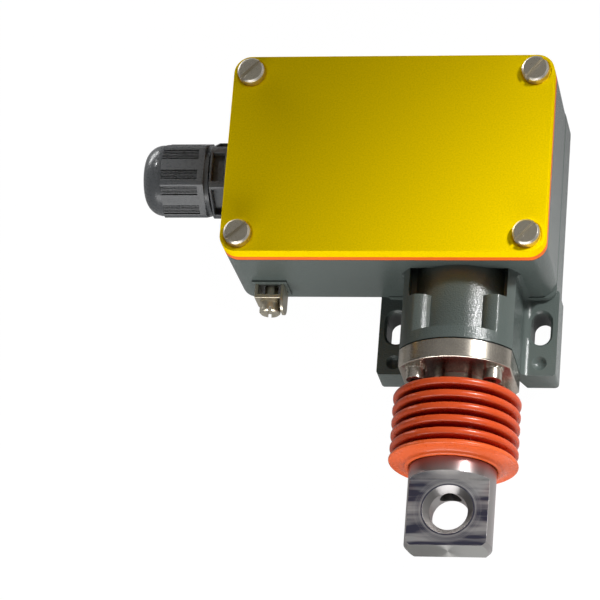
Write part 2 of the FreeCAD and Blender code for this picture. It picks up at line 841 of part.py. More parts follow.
def bellows():
    """Silicone bellows, clamped on the neck and gripping the pull eye."""
    valley_round = bellows_pitch / 2 - bellows_crest_round
    groove_radius = neck_radius - bellows_wall / 2
    collar_radius = neck_radius + bellows_collar_wall
    outside = fold_line(
        bellows_radius, bellows_valley_radius, bellows_crest_round, valley_round,
        collar_radius, bellows_lip_radius - bellows_wall)
    inside = fold_line(
        bellows_radius - bellows_wall, bellows_valley_radius - bellows_wall,
        bellows_crest_round - bellows_wall, valley_round + bellows_wall,
        groove_radius, bellows_lip_radius - 2 * bellows_wall)
    out_start = outside[0].Vertexes[0].Point
    in_start = inside[0].Vertexes[0].Point
    out_end = outside[-1].Vertexes[1].Point
    in_end = inside[-1].Vertexes[1].Point
    collar = [
        in_start, Vector(0, collar_start(), in_start.z), Vector(0, collar_start(), out_start.z),
        out_start,
    ]
    grip = axis_z + eye_radius - eye_bead_groove_depth
    lip = [
        out_end, Vector(0, bellows_lip_y, axis_z + bellows_lip_radius),
        Vector(0, bellows_lip_y - bellows_wall, axis_z + bellows_lip_radius),
        Vector(0, bellows_lip_end, axis_z + eye_radius + bellows_lip_thickness),
        Vector(0, bellows_lip_end, grip),
        Vector(0, bellows_lip_end + bellows_lip_thickness, grip),
        Vector(0, bellows_lip_end + bellows_lip_thickness, axis_z + eye_radius),
        Vector(0, bellows_lip_y - bellows_wall / 2, in_end.z), in_end,
    ]
    edges = outside + inside
    for chain in (collar, lip):
        edges += [Part.makeLine(a, b) for a, b in zip(chain, chain[1:])]
    wire = Part.Wire(Part.sortEdges(edges)[0])
    return Part.Face(wire).revolve(Vector(0, 0, axis_z), Vector(0, 1, 0), 360)


def pull_eye():
    """Turned rod end with two flats, a chamfered eye and a tapped bore for the spindle."""
    groove_end = bellows_lip_end
    groove_start = bellows_lip_end + bellows_lip_thickness
    groove_radius = eye_radius - eye_bead_groove_depth
    outline = [
        (eye_top, 0), (eye_top, eye_radius - eye_seat_chamfer), (eye_top - eye_seat_chamfer, eye_radius),
        (groove_start, eye_radius), (groove_start, groove_radius),
        (groove_end, groove_radius), (groove_end, eye_radius),
        (eye_end + eye_end_chamfer, eye_radius), (eye_end, eye_radius - eye_end_chamfer), (eye_end, 0),
    ]
    body = turned_about_axis(outline)
    half = eye_flat_thickness / 2
    cuts = [rod_along_y(spindle_thread_radius, eye_center, eye_top + run_past)]
    for low, high in ((axis_z + half, axis_z + 2 * eye_radius), (axis_z - 2 * eye_radius, axis_z - half)):
        cuts.append(box_between(
            (-2 * eye_radius, eye_end - run_past, low), (2 * eye_radius, eye_flat_start, high)))
    cuts.append(rod_along_z(eye_bore_radius, axis_z - eye_radius, axis_z + eye_radius, 0, eye_center))
    wide = eye_bore_radius + eye_bore_chamfer
    cuts.append(Part.makeCone(
        wide, eye_bore_radius, eye_bore_chamfer, Vector(0, eye_center, axis_z - half)))
    cuts.append(Part.makeCone(
        eye_bore_radius, wide, eye_bore_chamfer, Vector(0, eye_center, axis_z + half - eye_bore_chamfer)))
    return body.cut(Part.makeCompound(cuts)).removeSplitter()


def pull_spindle():
    """Ground spindle, threaded into the eye and stepped down for the cam stack."""
    front = eye_top - spindle_eye_grip
    stack_end = cam_end + lock_nut_height + spindle_end_overhang
    thread_end_radius = spindle_thread_radius - spindle_end_chamfer
    outline = [
        (front, 0), (front, thread_end_radius), (front + spindle_end_chamfer, spindle_thread_radius),
        (eye_top, spindle_thread_radius), (eye_top, spindle_radius), (spring_plate_y, spindle_radius),
        (spring_plate_y, spindle_thread_radius), (stack_end - spindle_end_chamfer, spindle_thread_radius),
        (stack_end, thread_end_radius), (stack_end, 0),
    ]
    return turned_about_axis(outline)


def coil(mean_radius, wire_radius, turns, start, end, origin, direction):
    """Coil spring as a helix between two places on an axis."""
    length = end - start - 2 * wire_radius
    helix = Part.makeHelix(length / turns, length, mean_radius)
    section = Part.Wire(Part.makeCircle(wire_radius, Vector(mean_radius, 0, 0), Vector(0, 1, 0)))
    spring = Part.Wire(helix).makePipeShell([section], True, True)
    spring = Part.Solid(spring)
    spring.Placement = FreeCAD.Placement(origin, FreeCAD.Rotation(Vector(0, 0, 1), direction))
    spring.translate(direction * (start + wire_radius))
    return spring


def return_spring():
    """Compression spring that pulls the spindle back in."""
    return coil(
        spring_mean_radius, spring_wire_radius, spring_turns, flange_hub_end + running_gap,
        spring_plate_y - running_gap, Vector(0, 0, axis_z), Vector(0, 1, 0))


def spring_plate():
    """Turned plate against the spindle's shoulder."""
    rim = nose_bore_radius - spring_plate_gap
    outline = [
        (spring_plate_y, spindle_thread_radius), (spring_plate_y, rim),
        (cam_start, rim), (cam_start, spindle_thread_radius),
    ]
    return turned_about_axis(outline)


def switching_cam():
    """Turned sleeve with one cone for each plunger."""
    outline = [(cam_start, spindle_thread_radius), (cam_start, cam_plunger_radius)]
    for row in block_rows:
        low = row - cam_run_out
        high = row + pull_travel + cam_run_out
        outline.append((low, cam_plunger_radius - cam_ratio * cam_run_out))
        outline.append((high, cam_plunger_radius + cam_ratio * (pull_travel + cam_run_out)))
        outline.append((high + cam_step_length, cam_plunger_radius))
    outline.append((cam_end, cam_plunger_radius))
    outline.append((cam_end, spindle_thread_radius))
    return turned_about_axis(outline)


def lock_nut():
    """Hexagon nut that clamps plate and cam on the spindle."""
    nut = hexagon_along(lock_nut_width, cam_end, cam_end + lock_nut_height, (0, axis_z), "y")
    return nut.cut(rod_along_y(
        spindle_thread_radius, cam_end - run_past, cam_end + lock_nut_height + run_past))


def plunger_tip_x():
    """Place of the plunger's round tip, clear of the cam's cone."""
    slope = math.atan(cam_ratio)
    center = -(cam_plunger_radius + (plunger_radius + rest_gap) / math.cos(slope))
    return center + plunger_radius


def plunger_rear():
    """Place of the plunger's rear end, inside the block's rear wall."""
    return plunger_tip_x() - plunger_length


def block_screw_places(row):
    """Two screws through the rear end of each block."""
    x = block_back + carrier_screw_head_radius + carrier_margin
    offset = block_width / 2 - carrier_screw_head_radius - carrier_margin
    return [(x, row - offset), (x, row + offset)]


def contact_places():
    """Fixed contacts as (side, place along X), normally closed before normally open."""
    closed = bridge_x + contact_gap
    opened = bridge_x - bridge_thickness - cam_ratio * pull_travel - contact_gap - contact_thickness
    return [(side, x) for side in (-1, 1) for x in (closed, opened)]


def contact_block(row):
    """Moulded block with an open switching chamber and a plunger bore."""
    half = block_width / 2
    block = rounded_block(
        block_back, block_front, row - half, row + half, block_base, block_top, block_corner_radius)
    chamber = box_between(
        (chamber_front - chamber_length, row - chamber_half_width, chamber_floor),
        (chamber_front, row + chamber_half_width, block_top + run_past))
    bore = rod_along_x(
        plunger_radius + plunger_gap, plunger_rear() - plunger_spring_space, block_front + run_past,
        row, axis_z)
    cuts = [chamber, bore]
    for x, y in block_screw_places(row):
        cuts.append(rod_along_z(
            carrier_screw_radius + screw_gap, block_base - run_past, block_top + run_past, x, y))
    for x, y in terminal_screw_places(row):
        cuts.append(rod_along_z(
            terminal_screw_radius + screw_gap, block_top - terminal_screw_length - screw_end_gap,
            block_top + run_past, x, y))
    return block.cut(Part.makeCompound(cuts)).removeSplitter()


def plunger(row):
    """Switch plunger with a round tip and a waist that holds the bridge."""
    tip = plunger_tip_x()
    center = tip - plunger_radius
    pin = rod_along_x(plunger_radius, tip - plunger_length, center, row, axis_z)
    ball = Part.makeSphere(plunger_radius, Vector(center, row, axis_z))
    bridge_space = box_between(
        (bridge_x - bridge_thickness, row - plunger_radius, axis_z - bridge_height / 4),
        (bridge_x, row + plunger_radius, axis_z + bridge_height / 4))
    return pin.fuse(ball).cut(bridge_space).removeSplitter()


def contact_bridge(row):
    """Contact strip through the plunger, with a notch on each edge where the plunger holds it."""
    strip = box_between(
        (bridge_x - bridge_thickness, row - bridge_y_half, axis_z - bridge_height / 2),
        (bridge_x, row + bridge_y_half, axis_z + bridge_height / 2))
    notches = []
    for side in (-1, 1):
        low = axis_z + side * bridge_height * 3 / 8 - bridge_height / 8
        notches.append(box_between(
            (bridge_x - bridge_thickness, row - plunger_radius, low),
            (bridge_x, row + plunger_radius, low + bridge_height / 4)))
    return strip.cut(Part.makeCompound(notches))


def fixed_contacts(row):
    """Four bent brass contacts, two for each switching position."""
    solids = []
    base = chamber_half_width - contact_width
    for side, x in contact_places():
        low_y, high_y = sorted((row + side * base, row + side * chamber_half_width))
        tab_top = block_top + contact_thickness
        post = box_between((x, low_y, chamber_floor), (x + contact_thickness, high_y, tab_top))
        screw_x = terminal_x(x)
        screw_y = row + side * terminal_y
        reach = terminal_tab_half if screw_x > x else -terminal_tab_half
        low_x, high_x = sorted((x + (contact_thickness if screw_x < x else 0), screw_x + reach))
        tab = box_between(
            (low_x, screw_y - terminal_tab_half, block_top),
            (high_x, screw_y + terminal_tab_half, tab_top))
        hole = rod_along_z(
            terminal_screw_radius + screw_gap, block_top - run_past, tab_top + run_past, screw_x, screw_y)
        solids.append(post.fuse(tab).cut(hole).removeSplitter())
    return Part.makeCompound(solids)


def terminal_x(contact_x):
    """Place of the terminal screw along X that belongs to a fixed contact."""
    if contact_x > bridge_x:
        return (chamber_front + block_front) / 2
    return chamber_front - chamber_length - terminal_screw_head_radius - contact_gap


def terminal_screw_places(row):
    """Terminal screws on the block's top, one for each fixed contact."""
    return [(terminal_x(x), row + side * terminal_y) for side, x in contact_places()]


def terminal_screws(row):
    """Four terminal screws on the contacts' tabs."""
    solids = []
    for x, y in terminal_screw_places(row):
        screw = cheese_head_screw(
            terminal_screw_head_radius, terminal_screw_head_height, terminal_screw_radius,
            terminal_screw_length, terminal_slot_width, terminal_slot_depth, terminal_slot_degrees)
        screw.translate(Vector(x, y, block_top + contact_thickness))
        solids.append(screw)
    return Part.makeCompound(solids)


def block_spring(row):
    """Small spring that pushes the plunger back out."""
    rear = plunger_rear()
    return coil(
        block_spring_radius, block_spring_wire, block_spring_turns,
        rear - plunger_spring_space + running_gap, rear - running_gap,
        Vector(0, row, axis_z), Vector(1, 0, 0))


def contact_carrier():
    """Flat steel plate that carries both blocks on the casting's bosses."""
    places = carrier_screw_places()
    reach = carrier_screw_head_radius + carrier_margin
    left = min(x for x, y in places) - reach
    front = min(y for x, y in places) - reach
    back = max(y for x, y in places) + reach
    plate = rounded_block(
        left, block_front, front, back, block_base - carrier_thickness, block_base,
        carrier_corner_radius)
    cuts = []
    holes = list(places)
    for row in block_rows:
        holes += block_screw_places(row)
    for x, y in holes:
        cuts.append(rod_along_z(
            carrier_screw_radius + screw_gap, block_base - carrier_thickness - run_past,
            block_base + run_past, x, y))
    return plate.cut(Part.makeCompound(cuts))


def pan_head_screw(seat, length, x, y):
    """Small pan-head screw with its seat at a height."""
    head = rod_along_z(carrier_screw_head_radius, seat, seat + carrier_screw_head_height, x, y)
    rim = [e for e in head.Edges if e.BoundBox.ZMin > seat + carrier_screw_head_height - edge_search]
    head = head.makeFillet(carrier_screw_head_height / 3, rim)
    return head.fuse(rod_along_z(carrier_screw_radius, seat - length, seat, x, y)).removeSplitter()


def carrier_screws():
    """Four screws through the carrier into the casting."""
    length = carrier_thickness + carrier_screw_grip - screw_end_gap
    return Part.makeCompound(
        [pan_head_screw(block_base, length, x, y) for x, y in carrier_screw_places()])


def block_screws():
    """Screws through the blocks into the carrier."""
    length = block_height + carrier_thickness
    solids = []
    for row in block_rows:
        for x, y in block_screw_places(row):
            solids.append(pan_head_screw(block_top, length, x, y))
    return Part.makeCompound(solids)


def gland_washer():
    """Sealing ring between gland and casting."""
    outer = rod_along_x(gland_washer_radius, gland_hex_start, gland_seat_x, gland_y, gland_z)
    hole = rod_along_x(
        gland_thread_radius + screw_gap, gland_hex_start - run_past, gland_seat_x + run_past,
        gland_y, gland_z)
    return outer.cut(hole)


def gland_body():
    """Gland body with moulded pockets in its hexagon, thread ends in front and behind."""
    hexagon = hexagon_along(
        gland_hex_width, gland_hex_end, gland_hex_start, (gland_y, gland_z), "x", gland_hex_degrees)
    side = gland_hex_width / math.sqrt(3)
    hexagon = hexagon.common(rod_along_x(
        side - gland_corner_cut, gland_hex_end, gland_hex_start, gland_y, gland_z))
    thread = rod_along_x(
        gland_thread_radius, gland_hex_start, box_left + wall + gland_thread_length / 2,
        gland_y, gland_z)
    neck = rod_along_x(gland_neck_radius, gland_neck_end, gland_hex_end, gland_y, gland_z)
    body = fused([hexagon, thread, neck])
    cuts = [rod_along_x(
        gland_bore_radius, gland_neck_end - run_past, box_left + 2 * gland_thread_length,
        gland_y, gland_z)]
    cuts.append(rod_along_x(
        cable_radius + gland_nut_wall, gland_neck_end - run_past, gland_neck_end + gland_seal_length,
        gland_y, gland_z))
    pocket_length = gland_hex_length - gland_pocket_front - gland_pocket_back
    pocket_width = side - 2 * gland_pocket_side
    for index in range(6):
        pocket = Part.makeBox(
            pocket_length, pocket_width, gland_pocket_depth + run_past,
            Vector(gland_hex_end + gland_pocket_front, -pocket_width / 2,
                   gland_hex_width / 2 - gland_pocket_depth))
        cuts.append(placed_on_flat(pocket, index, gland_hex_degrees))
    return body.cut(Part.makeCompound(cuts)).removeSplitter()


def placed_on_flat(shape, index, turn):
    """A shape modelled on the gland's top flat, moved to one of its six flats."""
    shape.rotate(Vector(0, 0, 0), Vector(1, 0, 0), 60 * index + turn)
    shape.translate(Vector(0, gland_y, gland_z))
    return shape


def gland_seal():
    """Rubber sleeve that closes on the cable."""
    seal_end = gland_neck_end + gland_seal_length
    outer = rod_along_x(
        cable_radius + gland_nut_wall, gland_neck_end, seal_end, gland_y, gland_z)
    return outer.cut(rod_along_x(
        cable_radius, gland_neck_end - run_past, seal_end + run_past, gland_y, gland_z))


def gland_dome(shoulder):
    """Round body of the nut, closed by a dome that leaves the cable hole open."""
    rim = gland_nut_hole_radius + gland_nut_rim
    bend = math.radians(45)
    middle = Vector(
        shoulder - gland_nut_dome_length * math.sin(bend), gland_y,
        gland_z + rim + (gland_nut_dome_radius - rim) * math.cos(bend))
    corner = Vector(shoulder, gland_y, gland_z + gland_nut_dome_radius)
    face_end = Vector(gland_nut_end, gland_y, gland_z + rim)
    points = [
        face_end, Vector(gland_nut_end, gland_y, gland_z + gland_nut_hole_radius),
        Vector(gland_nut_back, gland_y, gland_z + gland_nut_hole_radius),
        Vector(gland_nut_back, gland_y, gland_z + gland_nut_dome_radius), corner,
    ]
    edges = [Part.makeLine(a, b) for a, b in zip(points, points[1:])]
    edges.append(Part.Arc(corner, middle, face_end).toShape())
    return Part.Face(Part.Wire(edges)).revolve(
        Vector(0, gland_y, gland_z), Vector(1, 0, 0), 360)


def gland_window(front, back, side):
    """Recess of one ribbed grip window on the top flat, its ribs left standing."""
    flat = gland_nut_width / 2
    middle = side * gland_window_offset
    low = middle - gland_window_width / 2
    window = box_between(
        (front, low, flat - gland_window_depth), (back, low + gland_window_width, flat + run_past))
    pitch = gland_window_width / (gland_rib_count + 1)
    for index in range(gland_rib_count):
        rib_middle = low + (index + 1) * pitch
        window = window.cut(box_between(
            (front - run_past, rib_middle - gland_rib_width / 2, flat - gland_window_depth - run_past),
            (back + run_past, rib_middle + gland_rib_width / 2, flat - gland_rib_drop)))
    return window


def gland_nut():
    """Dome nut: a hexagon with two ribbed windows on each flat, between dome and collar."""
    shoulder = gland_nut_end + gland_nut_dome_length
    collar = gland_nut_back - gland_nut_collar_length
    flats = hexagon_along(
        gland_nut_width, shoulder, collar, (gland_y, gland_z), "x", gland_nut_degrees)
    flats = flats.common(rod_along_x(
        gland_nut_width / math.sqrt(3) - gland_corner_cut, shoulder, collar, gland_y, gland_z))
    nut = fused([gland_dome(shoulder), flats])
    cuts = [rod_along_x(
        gland_nut_hole_radius, gland_nut_end - run_past, gland_nut_back + run_past, gland_y, gland_z)]
    cuts.append(rod_along_x(
        gland_neck_radius + running_gap, gland_nut_end + gland_nut_wall, gland_nut_back + run_past,
        gland_y, gland_z))
    for index in range(6):
        for side in (-1, 1):
            window = gland_window(shoulder, collar - gland_window_end, side)
            cuts.append(placed_on_flat(window, index, gland_nut_degrees))
    return nut.cut(Part.makeCompound(cuts)).removeSplitter()


def earth_face():
    """Y place of the flat pad that the earth clamp stands on."""
    return box_front - earth_pad_proud


def earth_clamp():
    """Bent saddle clamp with two legs and a lip that keeps the conductor in."""
    back = earth_face()
    plate_back = back - earth_clamp_depth
    plate_front = plate_back - earth_clamp_plate
    half = earth_clamp_width / 2
    height = earth_clamp_height / 2
    inner = half - earth_clamp_leg
    plate = box_between(
        (earth_x - half, plate_front, earth_z - height), (earth_x + half, plate_back, earth_z + height))
    left_leg = box_between(
        (earth_x - half, plate_back, earth_z - height), (earth_x - inner, back, earth_z + height))
    right_leg = box_between(
        (earth_x + inner, plate_front - earth_clamp_lip, earth_z - height),
        (earth_x + half, back, earth_z + height))
    lip_edges = [
        e for e in right_leg.Edges
        if e.BoundBox.YMax < plate_front - earth_clamp_lip + edge_search
        and e.BoundBox.ZLength < edge_search
    ]
    right_leg = right_leg.makeFillet(earth_clamp_height / 2.5, lip_edges)
    hole = rod_along_y(
        earth_screw_radius + screw_gap, plate_front - run_past, plate_back + run_past, earth_x, earth_z)
    return fused([plate, left_leg, right_leg]).cut(hole)


def earth_stack():
    """Y places of the washer's two faces."""
    washer_back = earth_face() - earth_clamp_depth - earth_clamp_plate
    return washer_back, washer_back - earth_washer_thickness


def earth_washer():
    """Split spring washer under the earth screw's head."""
    back, front = earth_stack()
    ring = rod_along_y(earth_washer_radius, front, back, earth_x, earth_z)
    hole = rod_along_y(
        earth_screw_radius + screw_gap, front - run_past, back + run_past, earth_x, earth_z)
    half = earth_washer_split / 2
    split = box_between(
        (earth_x - half, front - run_past, earth_z),
        (earth_x + half, back + run_past, earth_z + 2 * earth_washer_radius))
    split.rotate(Vector(earth_x, 0, earth_z), Vector(0, 1, 0), earth_washer_split_degrees)
    return ring.cut(hole).cut(split)


def earth_screw():
    """Cheese-head screw of the outer earth terminal."""
    back, front = earth_stack()
    screw = cheese_head_screw(
        earth_screw_head_radius, earth_screw_head_height, earth_screw_radius,
        earth_face() - front + earth_screw_grip, earth_slot_width, earth_slot_depth, earth_slot_degrees)
    screw.rotate(Vector(0, 0, 0), Vector(1, 0, 0), 90)
    screw.translate(Vector(earth_x, front, earth_z))
    return screw


def inner_earth_clamp():
    """Square clamp washer of the inner earth terminal."""
    base = cavity_floor + inner_earth_boss_height
    half = inner_earth_clamp_size / 2
    plate = box_between(
        (inner_earth_x - half, inner_earth_y - half, base),
        (inner_earth_x + half, inner_earth_y + half, base + inner_earth_clamp_thickness))
    return plate.cut(rod_along_z(
        earth_screw_radius + screw_gap, base - run_past,
        base + inner_earth_clamp_thickness + run_past, inner_earth_x, inner_earth_y))


def inner_earth_screw():
    """Cheese-head screw of the inner earth terminal."""
    seat = cavity_floor + inner_earth_boss_height + inner_earth_clamp_thickness
    length = inner_earth_clamp_thickness + inner_earth_screw_grip - screw_end_gap
    screw = cheese_head_screw(
        earth_screw_head_radius, earth_screw_head_height, earth_screw_radius, length,
        earth_slot_width, earth_slot_depth, inner_earth_slot_degrees)
    screw.translate(Vector(inner_earth_x, inner_earth_y, seat))
    return screw


def all_parts():
    """Every piece under its own name."""
    parts = {
        "housing": housing(),
        "cover": cover(),
        "cover_gasket": cover_gasket(),
        "cover_screws": cover_screws(),
        "flange_gasket": flange_gasket(),
        "bearing_flange": bearing_flange(),
        "flange_screws": flange_screws(),
        "flange_lock_washers": flange_lock_washers(),
        "guide_bush": guide_bush(),
        "spindle_seal": spindle_seal(),
        "bellows": bellows(),
        "pull_eye": pull_eye(),
        "pull_spindle": pull_spindle(),
        "return_spring": return_spring(),
        "spring_plate": spring_plate(),
        "switching_cam": switching_cam(),
        "lock_nut": lock_nut(),
        "contact_carrier": contact_carrier(),
        "carrier_screws": carrier_screws(),
        "block_screws": block_screws(),
        "gland_washer": gland_washer(),
        "gland_body": gland_body(),
        "gland_seal": gland_seal(),
        "gland_nut": gland_nut(),
        "earth_clamp": earth_clamp(),
        "earth_washer": earth_washer(),
        "earth_screw": earth_screw(),
        "inner_earth_clamp": inner_earth_clamp(),
        "inner_earth_screw": inner_earth_screw(),
    }
    for number, row in enumerate(block_rows, start=1):
        parts[f"contact_block_{number}"] = contact_block(row)
        parts[f"plunger_{number}"] = plunger(row)
        parts[f"contact_bridge_{number}"] = contact_bridge(row)
        parts[f"fixed_contacts_{number}"] = fixed_contacts(row)
        parts[f"terminal_screws_{number}"] = terminal_screws(row)
        parts[f"plunger_spring_{number}"] = block_spring(row)
    return parts


os.makedirs("parts", exist_ok=True)
for name, shape in all_parts().items():
    solids = shape.Solids
    volume = sum(solid.Volume for solid in solids)
    state = "valid" if shape.isValid() else "NOT VALID"
    print(name, len(solids), "solids", round(volume, 1), "mm3", state)
    shape.exportStep(f"parts/{name}.step")
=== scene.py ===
import math

import bmesh
import bpy
from mathutils import Matrix, Vector


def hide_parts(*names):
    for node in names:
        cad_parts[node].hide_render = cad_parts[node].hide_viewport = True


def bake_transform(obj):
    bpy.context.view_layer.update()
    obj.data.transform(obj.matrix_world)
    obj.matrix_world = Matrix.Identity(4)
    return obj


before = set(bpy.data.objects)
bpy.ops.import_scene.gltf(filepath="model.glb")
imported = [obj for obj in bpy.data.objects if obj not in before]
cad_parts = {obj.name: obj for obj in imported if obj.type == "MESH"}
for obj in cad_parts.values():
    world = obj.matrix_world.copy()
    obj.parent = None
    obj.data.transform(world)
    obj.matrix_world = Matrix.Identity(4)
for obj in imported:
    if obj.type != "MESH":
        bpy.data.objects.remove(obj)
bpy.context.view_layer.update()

# Housing: one die casting with the box, the pad with two slotted ears and the round nose.
# It is blasted and powder-coated blue-grey; the coat rounds every edge and has a fine orange peel.
coat_blue_grey = (0.084, 0.103, 0.096)
coat_peel_size = 0.0006
coat_peel_depth = 0.00011
coat_grain_size = 0.0003
coat_grain_depth = 0.00003
coat_cloud_size = 0.03
casting_edge_round = 0.0005
weld_reach = 0.00001
facet_angle = math.radians(1.0)
sharp_edge_angle = math.radians(32)


def plain_material(name, color, roughness, metallic=0.0, specular=0.5):
    """Principled material with constant values on the shader's own sockets."""
    material = bpy.data.materials.new(name)
    material.use_nodes = True
    shader = material.node_tree.nodes["Principled BSDF"]
    shader.inputs["Base Color"].default_value = (*color, 1.0)
    shader.inputs["Roughness"].default_value = roughness
    shader.inputs["Metallic"].default_value = metallic
    shader.inputs["Specular IOR Level"].default_value = specular
    return material


def on_piece(material, kind="Object"):
    """Output of a point's place on the piece, or with the kind Normal of the way it faces."""
    return material.node_tree.nodes.new("ShaderNodeTexCoord").outputs[kind]


def noise_from(material, vector, size, detail=2.0):
    """Noise output with features of about the given size in metres."""
    noise = material.node_tree.nodes.new("ShaderNodeTexNoise")
    noise.inputs["Scale"].default_value = 1.0 / size
    noise.inputs["Detail"].default_value = detail
    material.node_tree.links.new(vector, noise.inputs["Vector"])
    return noise.outputs["Fac"]


def object_noise(material, size, detail=2.0):
    """Noise output that is fixed to the piece."""
    return noise_from(material, on_piece(material), size, detail)


def add_bump(material, height, depth):
    """Lets a height output push the surface's shading by up to a depth in metres."""
    links = material.node_tree.links
    shader = material.node_tree.nodes["Principled BSDF"]
    bump = material.node_tree.nodes.new("ShaderNodeBump")
    bump.inputs["Strength"].default_value = 1.0
    bump.inputs["Distance"].default_value = depth
    links.new(height, bump.inputs["Height"])
    if shader.inputs["Normal"].is_linked:
        links.new(shader.inputs["Normal"].links[0].from_socket, bump.inputs["Normal"])
    links.new(bump.outputs["Normal"], shader.inputs["Normal"])


def vary_input(material, socket, fac, low, high, start=0.3, end=0.7):
    """Drives a number or colour of the shader from low to high as an output passes start to end."""
    nodes = material.node_tree.nodes
    ramp = nodes.new("ShaderNodeValToRGB")
    for element, value, place in zip(ramp.color_ramp.elements, (low, high), (start, end)):
        element.color = (*value, 1.0) if isinstance(value, tuple) else (value, value, value, 1.0)
        element.position = place
    material.node_tree.links.new(fac, ramp.inputs["Fac"])
    material.node_tree.links.new(ramp.outputs["Color"], nodes["Principled BSDF"].inputs[socket])


def mottle(material, color, spots, darkest, lightest):
    """Lets an output vary a colour between a darker and a lighter share of itself."""
    dark = tuple(channel * darkest for channel in color)
    light = tuple(channel * lightest for channel in color)
    vary_input(material, "Base Color", spots, dark, light)


def soften(piece, edge_round, segments):
    """Rounds a CAD piece's sharp edges, as a mould or a deburring tool leaves them."""
    weld = piece.modifiers.new("weld", "WELD")
    weld.merge_threshold = weld_reach
    planes = piece.modifiers.new("planes", "DECIMATE")
    planes.decimate_type = "DISSOLVE"
    planes.angle_limit = facet_angle
    bevel = piece.modifiers.new("edge round", "BEVEL")
    bevel.width = edge_round
    bevel.segments = segments
    bevel.limit_method = "ANGLE"
    bevel.angle_limit = sharp_edge_angle
    bevel.harden_normals = False
    normals = piece.modifiers.new("normals", "WEIGHTED_NORMAL")
    normals.keep_sharp = False
    for polygon in piece.data.polygons:
        polygon.use_smooth = True


def dress(node, material, edge_round=None, segments=2):
    """Gives a CAD node's object its material, and rounds its edges where a round is given."""
    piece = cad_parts[node]
    piece.data.materials.clear()
    piece.data.materials.append(material)
    if edge_round:
        soften(piece, edge_round, segments)


blue_grey_coat = plain_material("blue_grey_coat", coat_blue_grey, roughness=0.22, specular=0.4)
coat_peel = object_noise(blue_grey_coat, coat_peel_size, detail=1.0)
add_bump(blue_grey_coat, coat_peel, coat_peel_depth)
coat_grain = object_noise(blue_grey_coat, coat_grain_size)
add_bump(blue_grey_coat, coat_grain, coat_grain_depth)
vary_input(blue_grey_coat, "Roughness", coat_grain, low=0.17, high=0.27)
coat_cloud = object_noise(blue_grey_coat, coat_cloud_size, detail=3.0)
mottle(blue_grey_coat, coat_blue_grey, coat_cloud, darkest=0.96, lightest=1.04)
dress("housing", blue_grey_coat, casting_edge_round)

# Cover: flat die-cast lid, powder-coated signal yellow in a dull satin finish.
# The coat has a fine grain and a close speckle, and the lid's top is left bare.
coat_yellow = (0.92, 0.655, 0.0005)
yellow_grain_size = 0.0004
yellow_grain_depth = 0.000015
yellow_speckle_size = 0.0006

yellow_coat = plain_material("yellow_coat", coat_yellow, roughness=0.5, specular=0.0)
yellow_grain = object_noise(yellow_coat, yellow_grain_size, detail=3.0)
add_bump(yellow_coat, yellow_grain, yellow_grain_depth)
vary_input(yellow_coat, "Roughness", yellow_grain, low=0.44, high=0.58)
yellow_speckle = object_noise(yellow_coat, yellow_speckle_size)
mottle(yellow_coat, coat_yellow, yellow_speckle, darkest=0.93, lightest=1.07)
dress("cover", yellow_coat, edge_round=0.0004)

# Cover gasket: flat frame of orange-red silicone between rim and lid, moulded smooth.
# Its edge shows all round as a thin stripe, painted lighter than the folds of the bellows, which are
# the same silicone, as painted light.
# Painted light: the gasket's orange is the bellows' silicone made lighter.
gasket_painted_light_orange = (0.90, 0.165, 0.016)
film_size = 0.006
skin_grain_size = 0.0008
skin_grain_depth = 0.00002


def silicone(name, color, roughness, specular):
    """Moulded silicone with a faint film and small changes of gloss."""
    material = plain_material(name, color, roughness, specular=specular)
    film = object_noise(material, film_size, detail=5.0)
    vary_input(material, "Roughness", film, low=roughness - 0.06, high=roughness + 0.08)
    mottle(material, color, film, darkest=0.95, lightest=1.04)
    add_bump(material, object_noise(material, skin_grain_size), skin_grain_depth)
    return material


gasket_painted_light_silicone = silicone("gasket_painted_light_silicone", gasket_painted_light_orange, roughness=0.42, specular=0.1)
dress("cover_gasket", gasket_painted_light_silicone, edge_round=0.0002)

# Cover screws: M6 slotted cheese heads, turned from stainless steel.
# A painted highlight makes their rounded rims, sides and slot walls lighter than the dull level tops
# and slot floors.
screw_top_color = (0.44, 0.40, 0.32)
# Painted highlight: the lighter colour of the rims, sides and slot walls.
screw_edge_highlight_color = (0.78, 0.73, 0.64)
rim_faces_up = 0.88
top_faces_up = 0.985
tool_mark_size = 0.00015
tool_mark_depth = 0.000004
stain_size = 0.004


def machined_metal(name, color, roughness, mark_size=tool_mark_size):
    """Bare machined metal with fine tool marks and small changes of gloss."""
    material = plain_material(name, color, roughness, metallic=1.0)
    marks = object_noise(material, mark_size)
    add_bump(material, marks, tool_mark_depth)
    vary_input(material, "Roughness", marks, low=roughness - 0.05, high=roughness + 0.07)
    stain = object_noise(material, stain_size, detail=4.0)
    mottle(material, color, stain, darkest=0.9, lightest=1.06)
    return material


def parts_of(material, kind):
    """X, Y and Z outputs of a point's place (Object) or of the way it faces (Normal)."""
    parts = material.node_tree.nodes.new("ShaderNodeSeparateXYZ")
    material.node_tree.links.new(on_piece(material, kind), parts.inputs["Vector"])
    return parts.outputs


cover_screw_steel = machined_metal("cover_screw_steel", screw_top_color, roughness=0.30)
upward = parts_of(cover_screw_steel, "Normal")["Z"]
# Painted highlight on every face that does not look straight up.
vary_input(cover_screw_steel, "Base Color", upward, screw_edge_highlight_color, screw_top_color,
           rim_faces_up, top_faces_up)
dress("cover_screws", cover_screw_steel, edge_round=0.0005, segments=3)

# Bearing flange: turned stainless steel disc with two flats and a neck, held to the nose by
# four socket-head screws on toothed washers, over a thin black gasket.
steel_color = (0.50, 0.455, 0.39)
washer_steel_color = (0.72, 0.68, 0.60)
black_rubber_color = (0.012, 0.012, 0.013)
rubber_grain_size = 0.0005
rubber_grain_depth = 0.00003
axis_z = 0.027
lathe_pitch = 0.0005
lathe_depth = 0.000006
gloss_across_rings = 0.25
turned_gloss_stretch = 0.6


